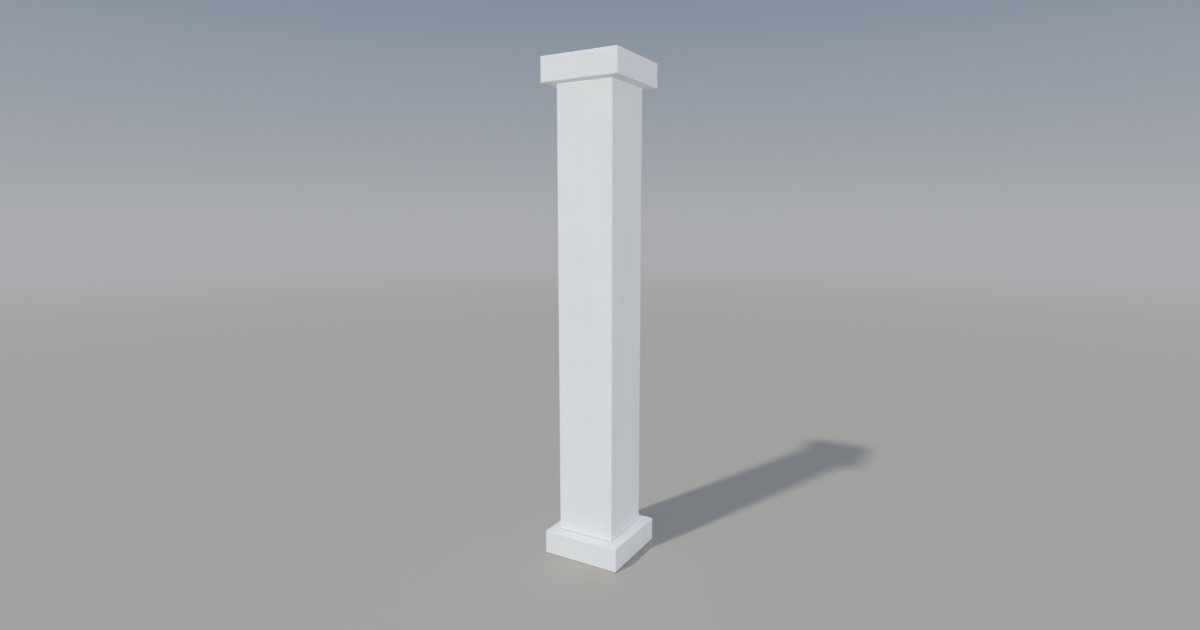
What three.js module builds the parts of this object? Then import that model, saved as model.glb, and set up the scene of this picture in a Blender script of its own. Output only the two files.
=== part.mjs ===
// A plain square column of cast stone, painted white. It stands free on its own plinth.
// It is built as a mason sets it: a square plinth block on the ground, a tall square shaft on
// that, and a square capital block on top, which carries a beam. Each block is cast in one
// piece, and each has its arrises eased, so that no edge is left sharp enough to chip.
// Units are millimetres. +Z is up, the faces look along X and Y, and the origin is the middle
// of the plinth's underside.
import * as THREE from "three";
import { RoundedBoxGeometry } from "three/addons/geometries/RoundedBoxGeometry.js";

// The whole column, from the ground to the bearing face of the capital
const columnHeight = 2440;

// The shaft, square in plan
const shaftWidth = 300;

// The blocks at its foot and head, and how far each stands out from the shaft's faces
const plinthHeight = 120;
const plinthProjection = 54;
const capitalHeight = 120;
const capitalProjection = 54;

// Every arris is eased to this radius, as this many flats in the solid
const arrisRadius = 5;
const arrisFlats = 4;

// Matt white masonry paint, which covers every face that shows
const paintColour = 0xe4e7e9;
const paintRoughness = 0.62;

const column = new THREE.Group();

// A square block with eased arrises, set with its underside at the given height. It gives back
// the height of its top, where the next block stands.
function setBlock(name, width, height, underside) {
  const flatsBesideAFace = arrisFlats / 2;
  const geometry = new RoundedBoxGeometry(width, width, height, flatsBesideAFace, arrisRadius);
  const paint = new THREE.MeshStandardMaterial({
    color: paintColour,
    roughness: paintRoughness,
    metalness: 0,
  });
  const block = new THREE.Mesh(geometry, paint);
  block.name = name;
  block.position.z = underside + height / 2;
  column.add(block);
  return underside + height;
}

// The three courses, from the ground up
const shaftHeight = columnHeight - plinthHeight - capitalHeight;
const plinthTop = setBlock("plinth", shaftWidth + 2 * plinthProjection, plinthHeight, 0);
const shaftTop = setBlock("shaft", shaftWidth, shaftHeight, plinthTop);
setBlock("capital", shaftWidth + 2 * capitalProjection, capitalHeight, shaftTop);

export default column;
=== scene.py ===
# A plain square column of cast stone under matt white masonry paint. A square shaft stands on a
# plinth block and carries a capital block. Each block is one casting with eased arrises, and
# nothing moves. Everything is in metres, with +Z up and the ground at height 0.
import math

import bmesh
import bpy
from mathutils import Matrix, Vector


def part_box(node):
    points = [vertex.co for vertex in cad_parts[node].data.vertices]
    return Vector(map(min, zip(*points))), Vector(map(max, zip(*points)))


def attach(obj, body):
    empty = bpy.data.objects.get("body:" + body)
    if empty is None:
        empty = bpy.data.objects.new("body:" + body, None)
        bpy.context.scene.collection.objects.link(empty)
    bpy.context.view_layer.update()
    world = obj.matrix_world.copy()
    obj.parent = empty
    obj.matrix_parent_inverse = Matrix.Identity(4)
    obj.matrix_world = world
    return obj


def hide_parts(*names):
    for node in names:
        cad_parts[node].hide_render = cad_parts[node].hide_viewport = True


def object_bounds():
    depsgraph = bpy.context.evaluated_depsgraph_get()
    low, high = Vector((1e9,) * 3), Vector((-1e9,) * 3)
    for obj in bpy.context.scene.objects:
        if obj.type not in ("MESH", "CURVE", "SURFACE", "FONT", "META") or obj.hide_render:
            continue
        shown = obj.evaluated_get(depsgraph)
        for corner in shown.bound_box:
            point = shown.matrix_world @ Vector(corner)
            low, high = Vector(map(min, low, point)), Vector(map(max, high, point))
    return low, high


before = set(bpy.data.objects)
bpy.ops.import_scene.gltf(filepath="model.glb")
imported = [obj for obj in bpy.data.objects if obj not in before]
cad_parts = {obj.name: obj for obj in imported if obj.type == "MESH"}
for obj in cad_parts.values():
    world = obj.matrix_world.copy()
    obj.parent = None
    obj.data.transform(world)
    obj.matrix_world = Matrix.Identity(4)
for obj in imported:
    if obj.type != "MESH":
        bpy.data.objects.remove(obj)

cad_low, cad_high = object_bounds()

# The plinth
# A square block of cast stone, set on the ground as the column's foot. It is cast in one piece
# in a mould with filleted corners, so that every arris comes out eased, and the mason rubs the
# arrises down by hand. It is painted where it stands, along its faces.

arris_radius = 0.005
arris_wander = 0.2
wander_length = 0.050
arris_cells = 4
plinth_strokes = (0.300, 0.300, 0.025)


def add(tree, kind, inputs=(), **settings):
    """Adds a node to a tree: its settings, then each input as a value or as a link.

    The inputs are named, or listed in their order. A node given as an input stands for its
    first output.
    """
    node = tree.nodes.new(kind)
    for name, setting in settings.items():
        setattr(node, name, setting)
    by_key = inputs if isinstance(inputs, dict) else dict(enumerate(inputs))
    for key, given in by_key.items():
        source = given.outputs[0] if isinstance(given, bpy.types.Node) else given
        if isinstance(source, bpy.types.NodeSocket):
            tree.links.new(source, node.inputs[key])
        else:
            node.inputs[key].default_value = source
    return node


def eased_block_rule():
    """Geometry Nodes for a square block with every arris eased, standing at a given height."""
    tree = bpy.data.node_groups.new("eased_block", "GeometryNodeTree")
    tree.interface.new_socket("Block", in_out="OUTPUT", socket_type="NodeSocketGeometry")
    for name, kind in (
        ("Width", "Float"),
        ("Height", "Float"),
        ("Underside", "Float"),
        ("Arris radius", "Float"),
        ("Arris wander", "Float"),
        ("Wander length", "Float"),
        ("Arris cells", "Int"),
        ("Face cells across", "Int"),
        ("Face cells up", "Int"),
        ("Seed", "Float"),
        ("Paint", "Material"),
    ):
        tree.interface.new_socket(name, in_out="INPUT", socket_type="NodeSocket" + kind)
    given = add(tree, "NodeGroupInput").outputs

    # A cube of cells from -1 to 1 on each axis. The outermost cells of a face are its half of
    # each arris, and the rest are its flat.
    both_arrises = add(tree, "ShaderNodeMath", [given["Arris cells"], 2], operation="MULTIPLY")
    face_across = given["Face cells across"]
    face_up = given["Face cells up"]
    cells_across = add(tree, "ShaderNodeMath", [face_across, both_arrises], operation="ADD")
    cells_up = add(tree, "ShaderNodeMath", [face_up, both_arrises], operation="ADD")
    lines_across = add(tree, "ShaderNodeMath", [cells_across, 1], operation="ADD")
    lines_up = add(tree, "ShaderNodeMath", [cells_up, 1], operation="ADD")
    cube_inputs = {
        "Size": (2, 2, 2),
        "Vertices X": lines_across,
        "Vertices Y": lines_across,
        "Vertices Z": lines_up,
    }
    cube = add(tree, "GeometryNodeMeshCube", cube_inputs)
    place = add(tree, "GeometryNodeInputPosition")
    side = add(tree, "ShaderNodeVectorMath", [place], operation="SIGN")
    reach = add(tree, "ShaderNodeVectorMath", [place], operation="ABSOLUTE")

    # On the flat, the cells crowd towards the arris, as a sine does towards its crest
    flat_across = add(tree, "ShaderNodeMath", [face_across, cells_across], operation="DIVIDE")
    flat_up = add(tree, "ShaderNodeMath", [face_up, cells_up], operation="DIVIDE")
    flat = add(tree, "ShaderNodeCombineXYZ", [flat_across, flat_across, flat_up])
    of_flat = add(tree, "ShaderNodeVectorMath", [reach, flat], operation="DIVIDE")
    across_flat = add(tree, "ShaderNodeVectorMath", [of_flat, (1, 1, 1)], operation="MINIMUM")
    quarter_turn = (math.radians(90),) * 3
    turned = add(tree, "ShaderNodeVectorMath", [across_flat, quarter_turn], operation="MULTIPLY")
    crowded = add(tree, "ShaderNodeVectorMath", [turned], operation="SINE")

    # Beyond the flat, each face turns its half of the quarter round
    past_flat = add(tree, "ShaderNodeVectorMath", [reach, flat], operation="SUBTRACT")
    beyond_flat = add(tree, "ShaderNodeVectorMath", [past_flat, (0, 0, 0)], operation="MAXIMUM")
    arris = add(tree, "ShaderNodeVectorMath", [(1, 1, 1), flat], operation="SUBTRACT")
    of_arris = add(tree, "ShaderNodeVectorMath", [beyond_flat, arris], operation="DIVIDE")
    eighth_turn = (math.radians(45),) * 3
    angle = add(tree, "ShaderNodeVectorMath", [of_arris, eighth_turn], operation="MULTIPLY")
    slope = add(tree, "ShaderNodeVectorMath", [angle], operation="TANGENT")
    sloped = add(tree, "ShaderNodeVectorMath", [slope, side], operation="MULTIPLY")
    outward = add(tree, "ShaderNodeVectorMath", [sloped], operation="NORMALIZE")

    # The radius wanders a little along each arris, as rubbing by hand leaves it
    half_width = add(tree, "ShaderNodeMath", [given["Width"], 0.5], operation="MULTIPLY")
    half_height = add(tree, "ShaderNodeMath", [given["Height"], 0.5], operation="MULTIPLY")
    half_size = add(tree, "ShaderNodeCombineXYZ", [half_width, half_width, half_height])
    in_metres = add(tree, "ShaderNodeVectorMath", [place, half_size], operation="MULTIPLY")
    waves = add(tree, "ShaderNodeMath", [1, given["Wander length"]], operation="DIVIDE")
    noise_inputs = {"Vector": in_metres, "W": given["Seed"], "Scale": waves, "Detail": 0}
    noise = add(tree, "ShaderNodeTexNoise", noise_inputs, noise_dimensions="4D")
    mean_noise = 0.5
    swing = add(tree, "ShaderNodeMath", [noise, mean_noise], operation="SUBTRACT")
    wander = add(tree, "ShaderNodeMath", [swing, given["Arris wander"]], operation="MULTIPLY")
    share = add(tree, "ShaderNodeMath", [wander, 1], operation="ADD")
    radius = add(tree, "ShaderNodeMath", [given["Arris radius"], share], operation="MULTIPLY")
    radii = add(tree, "ShaderNodeCombineXYZ", [radius, radius, radius])

    # Each point stands one radius out from the line that its arris turns about
    within = add(tree, "ShaderNodeVectorMath", [half_size, radii], operation="SUBTRACT")
    line_reach = add(tree, "ShaderNodeVectorMath", [crowded, within], operation="MULTIPLY")
    turning_line = add(tree, "ShaderNodeVectorMath", [line_reach, side], operation="MULTIPLY")
    one_radius = add(tree, "ShaderNodeVectorMath", [outward, radii], operation="MULTIPLY")
    surface = add(tree, "ShaderNodeVectorMath", [turning_line, one_radius], operation="ADD")
    level = add(tree, "ShaderNodeMath", [given["Underside"], half_height], operation="ADD")
    middle = add(tree, "ShaderNodeCombineXYZ", [0, 0, level])
    standing = add(tree, "ShaderNodeVectorMath", [surface, middle], operation="ADD")
    block = add(tree, "GeometryNodeSetPosition", {"Geometry": cube, "Position": standing})
    smooth = add(tree, "GeometryNodeSetShadeSmooth", {"Geometry": block})
    real = add(tree, "GeometryNodeRealizeInstances", {"Geometry": smooth})
    painted = add(tree, "GeometryNodeSetMaterial", {"Geometry": real, "Material": given["Paint"]})
    add(tree, "NodeGroupOutput", [painted])
    return tree


def make_block(name, node, paint, seed):
    """The block that stands for a CAD node and fills its box, made a plain mesh."""
    low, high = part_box(node)
    width = high.x - low.x
    height = high.z - low.z
    face_cell = wander_length / 2
    sizes = {
        "Width": width,
        "Height": height,
        "Underside": low.z,
        "Arris radius": arris_radius,
        "Arris wander": arris_wander,
        "Wander length": wander_length,
        "Arris cells": arris_cells,
        "Face cells across": round(width / face_cell),
        "Face cells up": round(height / face_cell),
        "Seed": seed,
        "Paint": paint,
    }
    source = bpy.data.objects.new(name + "_rule", bpy.data.meshes.new(name + "_rule"))
    bpy.context.scene.collection.objects.link(source)
    rule = source.modifiers.new("Eased block", "NODES")
    rule.node_group = eased_block
    for socket in eased_block.interface.items_tree:
        if socket.in_out == "INPUT":
            rule[socket.identifier] = sizes[socket.name]

    # Each point takes the normal of the largest faces beside it, so that the flats stay flat and
    # only the arrises shade round
    largest_only = 100
    source.modifiers.new("Even shading", "WEIGHTED_NORMAL").weight = largest_only
    evaluated = source.evaluated_get(bpy.context.evaluated_depsgraph_get())
    mesh = bpy.data.meshes.new_from_object(evaluated)
    mesh.name = name
    bpy.data.objects.remove(source)
    block = bpy.data.objects.new(name, mesh)
    bpy.context.scene.collection.objects.link(block)
    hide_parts(node)
    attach(block, "root")
    return block


def linear(colour):
    """A shader's linear colour from an sRGB hex colour."""
    shares = [int(colour[start:start + 2], 16) / 255 for start in (1, 3, 5)]
    return [s / 12.92 if s <= 0.04045 else ((s + 0.055) / 1.055) ** 2.4 for s in shares] + [1]


def masonry_paint(name, strokes, joint, seed):
    """Two coats of matt white acrylic masonry paint on cast stone, put on by roller and brush.

    It gives the eye an even, slightly cool white with hardly any shine, over a low stipple.
    Where the coats are thin the white is a shade greyer and drier. Inside the groove over the
    joint the colour darkens to a grey, painted shade that stands for the groove's shadow and
    draws a fine line. strokes is the length of one mark of the tool along X, Y and Z. joint is
    the height of the joint whose groove gets this painted shade, under the block or below it.
    """
    # This grey is painted shade, laid in the groove over the joint in place of its shadow
    painted_groove_shade = linear("#A3A19C")
    thin_coat = linear("#E4E7E9")
    full_coat = linear("#E8EBED")
    thinnest = 0.3
    thin_roughness = 0.74
    full_roughness = 0.62
    coat_patch = 0.160
    stroke_share = 0.4
    stroke_relief = 0.00002
    least_load = 0.45
    full_load = 0.95

    # The roller's stipple is really 4 mm from crest to crest and 0.3 mm deep. It is drawn two and
    # a half times as coarse and as deep, with the same slopes, or it would be finer than a pixel.
    # The noise that draws it swings through two fifths of its whole range.
    crest_to_crest = 0.004
    crest_to_hollow = 0.0003
    coarser = 2.5
    noise_swing = 0.4
    stipple_pitch = crest_to_crest * coarser
    stipple_relief = crest_to_hollow * coarser / noise_swing

    paint = bpy.data.materials.new(name)
    paint.use_nodes = True
    tree = paint.node_tree
    tree.nodes.clear()
    where = add(tree, "ShaderNodeTexCoord").outputs["Object"]
    stipple_inputs = {"Vector": where, "W": seed, "Scale": 1 / stipple_pitch, "Detail": 2}
    stipple = add(tree, "ShaderNodeTexNoise", stipple_inputs, noise_dimensions="4D")
    stroke_scale = [1 / length for length in strokes]
    drawn = add(tree, "ShaderNodeMapping", {"Vector": where, "Scale": stroke_scale})
    marks_inputs = {"Vector": drawn, "W": seed, "Scale": 1, "Detail": 1}
    marks = add(tree, "ShaderNodeTexNoise", marks_inputs, noise_dimensions="4D")
    coats_inputs = {"Vector": where, "W": seed, "Scale": 1 / coat_patch, "Detail": 2}
    coats = add(tree, "ShaderNodeTexNoise", coats_inputs, noise_dimensions="4D")

    # How thick the paint lies, from the marks and from one load of paint to the next. Below
    # halfway up the arris over the joint it fades into the painted groove shade.
    load = add(tree, "ShaderNodeMath", [marks, stroke_share, coats], operation="MULTIPLY_ADD")
    laid_inputs = {
        "Value": load,
        "From Min": least_load,
        "From Max": full_load,
        "To Min": thinnest,
        "To Max": 1,
    }
    laid = add(tree, "ShaderNodeMapRange", laid_inputs)
    height = add(tree, "ShaderNodeSeparateXYZ", {"Vector": where}).outputs["Z"]
    # Painted shade in the groove: 0 below halfway up the arris over the joint, rising to 1 above
    # it
    clear_of_groove_shade_inputs = {
        "Value": height,
        "From Min": joint + arris_radius / 2,
        "From Max": joint + arris_radius,
    }
    clear_of_groove_shade = add(tree, "ShaderNodeMapRange", clear_of_groove_shade_inputs)
    coat_and_groove_shade = add(tree, "ShaderNodeMath", [laid, clear_of_groove_shade], operation="MULTIPLY")

    shade = add(tree, "ShaderNodeValToRGB", {"Fac": coat_and_groove_shade})
    shade.color_ramp.elements[0].color = painted_groove_shade
    shade.color_ramp.elements[1].color = full_coat
    shade.color_ramp.elements.new(thinnest).color = thin_coat
    roughness_inputs = {
        "Value": coat_and_groove_shade,
        "From Min": thinnest,
        "From Max": 1,
        "To Min": thin_roughness,
        "To Max": full_roughness,
    }
    roughness = add(tree, "ShaderNodeMapRange", roughness_inputs)
    marked = {"Height": marks, "Distance": stroke_relief}
    low_relief = add(tree, "ShaderNodeBump", marked)
    stippled = {"Height": stipple, "Distance": stipple_relief, "Normal": low_relief}
    relief = add(tree, "ShaderNodeBump", stippled)
    coat_inputs = {"Base Color": shade, "Roughness": roughness, "IOR": 1.5, "Normal": relief}
    coat = add(tree, "ShaderNodeBsdfPrincipled", coat_inputs)
    add(tree, "ShaderNodeOutputMaterial", {"Surface": coat})
    return paint


eased_block = eased_block_rule()
ground = cad_low[2]
# The plinth's painted groove shade lies along its foot, where it meets the floor
plinth_paint = masonry_paint("masonry_paint_on_plinth", plinth_strokes, ground, seed=1)
plinth = make_block("plinth_block", "plinth", plinth_paint, seed=1)

# The shaft
# One tall square casting, which stands on the middle of the plinth and carries the capital. Its
# own eased arrises leave a fine groove where it meets each of them. It is rolled up and down.

shaft_strokes = (0.045, 0.045, 0.900)
plinth_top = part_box("plinth")[1].z
# The painted groove shade runs round the shaft's foot, over its joint with the plinth
shaft_paint = masonry_paint("masonry_paint_on_shaft", shaft_strokes, plinth_top, seed=2)
shaft = make_block("shaft_block", "shaft", shaft_paint, seed=2)

# The capital
# A square block like the plinth, cast in the same mould and laid on the shaft's head, where its
# flat top carries a beam. The brush reaches all round it and underneath. It gets no painted
# groove shade, since the only painted shade line over a joint is at the shaft's foot.

capital_paint = masonry_paint("masonry_paint_on_capital", plinth_strokes, plinth_top, seed=3)
capital = make_block("capital_block", "capital", capital_paint, seed=3)

# The floor and the backdrop
# A plain pale studio floor, which fades with distance into a plain backdrop. Neither is part of
# the column.

floor_radius = 60
floor_sides = 96
fade_start = 4
fade_end = 25
floor_colour = linear("#BDB9B3")
horizon_colour = linear("#A9ABAE")
upper_colour = linear("#838F9F")
upper_reach = 0.3

floor_mesh = bpy.data.meshes.new("floor")
disc = bmesh.new()
bmesh.ops.create_circle(disc, cap_ends=True, segments=floor_sides, radius=floor_radius)
disc.to_mesh(floor_mesh)
disc.free()
floor = bpy.data.objects.new("floor", floor_mesh)
bpy.context.scene.collection.objects.link(floor)

floor_finish = bpy.data.materials.new("matt_floor_paint")
floor_finish.use_nodes = True
floor_tree = floor_finish.node_tree
floor_tree.nodes.clear()
floor_place = add(floor_tree, "ShaderNodeTexCoord").outputs["Object"]
from_middle = add(floor_tree, "ShaderNodeVectorMath", [floor_place], operation="LENGTH")
distance = from_middle.outputs["Value"]
fade_inputs = {"Value": distance, "From Min": fade_start, "From Max": fade_end}
fade = add(floor_tree, "ShaderNodeMapRange", fade_inputs, interpolation_type="SMOOTHSTEP")
matt = add(floor_tree, "ShaderNodeBsdfDiffuse", {"Color": floor_colour})
far = add(floor_tree, "ShaderNodeEmission", {"Color": horizon_colour})
faded = add(floor_tree, "ShaderNodeMixShader", [fade, matt, far])
add(floor_tree, "ShaderNodeOutputMaterial", {"Surface": faded})
floor_mesh.materials.append(floor_finish)

backdrop = bpy.data.worlds.new("backdrop")
backdrop.use_nodes = True
backdrop_tree = backdrop.node_tree
backdrop_tree.nodes.clear()
direction = add(backdrop_tree, "ShaderNodeTexCoord").outputs["Generated"]
rise = add(backdrop_tree, "ShaderNodeSeparateXYZ", {"Vector": direction}).outputs["Z"]
shades = add(backdrop_tree, "ShaderNodeValToRGB", {"Fac": rise})
shades.color_ramp.elements[0].color = horizon_colour
shades.color_ramp.elements[1].color = upper_colour
shades.color_ramp.elements[1].position = upper_reach
glow = add(backdrop_tree, "ShaderNodeBackground", {"Color": shades, "Strength": 1})
add(backdrop_tree, "ShaderNodeOutputWorld", {"Surface": glow})
bpy.context.scene.world = backdrop

# The light
# A warm key from the front left throws the column's shadow on the floor. Wide fills from the
# front and the right keep each upright face even. A cool bounce lights what faces down, and a
# low light from behind lifts the far sides.


def add_sun(name, strength, colour, width, heading, height):
    """A sun lamp that shines towards a heading, from a height above the horizon, in degrees."""
    lamp = bpy.data.lights.new(name, "SUN")
    lamp.energy = strength
    lamp.color = linear(colour)[:3]
    lamp.angle = math.radians(width)
    sun = bpy.data.objects.new(name, lamp)
    sun.rotation_euler = (math.radians(90 - height), 0, math.radians(heading - 90))
    bpy.context.scene.collection.objects.link(sun)
    return sun


def light_only(sun, *things):
    """Keeps a lamp to these things."""
    lit = bpy.data.collections.new(sun.name + "_lights")
    for thing in things:
        lit.objects.link(thing)
    sun.light_linking.receiver_collection = lit


def light_evenly(sun, *things):
    """Keeps a lamp to these things, and lets nothing throw a shadow of it on them."""
    light_only(sun, *things)
    sun.data.use_shadow = False
    sun.data.cycles.use_multiple_importance_sampling = False


column = (plinth, shaft, capital)

# The key throws shadows on the floor and on the plinth's top, and none on the upright faces
key = {"colour": "#FFF9F0", "width": 3, "heading": 69.8, "height": 47}
light_only(add_sun("key_on_floor", strength=1.4, **key), floor)
light_only(add_sun("key_on_plinth", strength=0.31, **key), plinth)
light_evenly(add_sun("key_on_uprights", strength=0.31, **key), shaft, capital)

# The widest fill is the only other lamp with a shadow, a soft one where things meet
overhead = {"colour": "#FFFFFF", "width": 170, "heading": 120, "height": 40}
front = {"colour": "#FFFAEE", "width": 110, "heading": 90, "height": 35}
right = {"colour": "#FFF5F2", "width": 110, "heading": 150, "height": 35}
below = {"colour": "#D8E4FF", "width": 110, "heading": 135, "height": -45}
behind = {"colour": "#FFFFFF", "width": 14, "heading": -40, "height": 4}
add_sun("wide_fill", strength=0.6, **overhead)
light_evenly(add_sun("front_fill", strength=0.93, **front), *column)
light_evenly(add_sun("right_fill", strength=0.56, **right), *column)
light_evenly(add_sun("bounce", strength=0.24, **below), *column)
light_evenly(add_sun("back_light", strength=0.94, **behind), *column)

# The camera
# It stands at eye height, off the column's right front corner, and looks a little down. Its
# turn and tilt are in degrees, and its focal length and the picture's width are in pixels.

eye = (1.6634, -2.8610, 1.6896)
turned_left = 30.19
tilted_down = 8.063
focal_length = 670.3
picture_width = 1200

lens = bpy.data.cameras.new("camera")
lens.sensor_width = 36
lens.lens = focal_length / picture_width * lens.sensor_width
lens.clip_end = 2 * floor_radius
camera = bpy.data.objects.new("camera", lens)
camera.location = eye
camera.rotation_euler = (math.radians(90 - tilted_down), 0, math.radians(turned_left))
bpy.context.scene.collection.objects.link(camera)
bpy.context.scene.camera = camera
bpy.context.scene.view_settings.view_transform = "Standard"
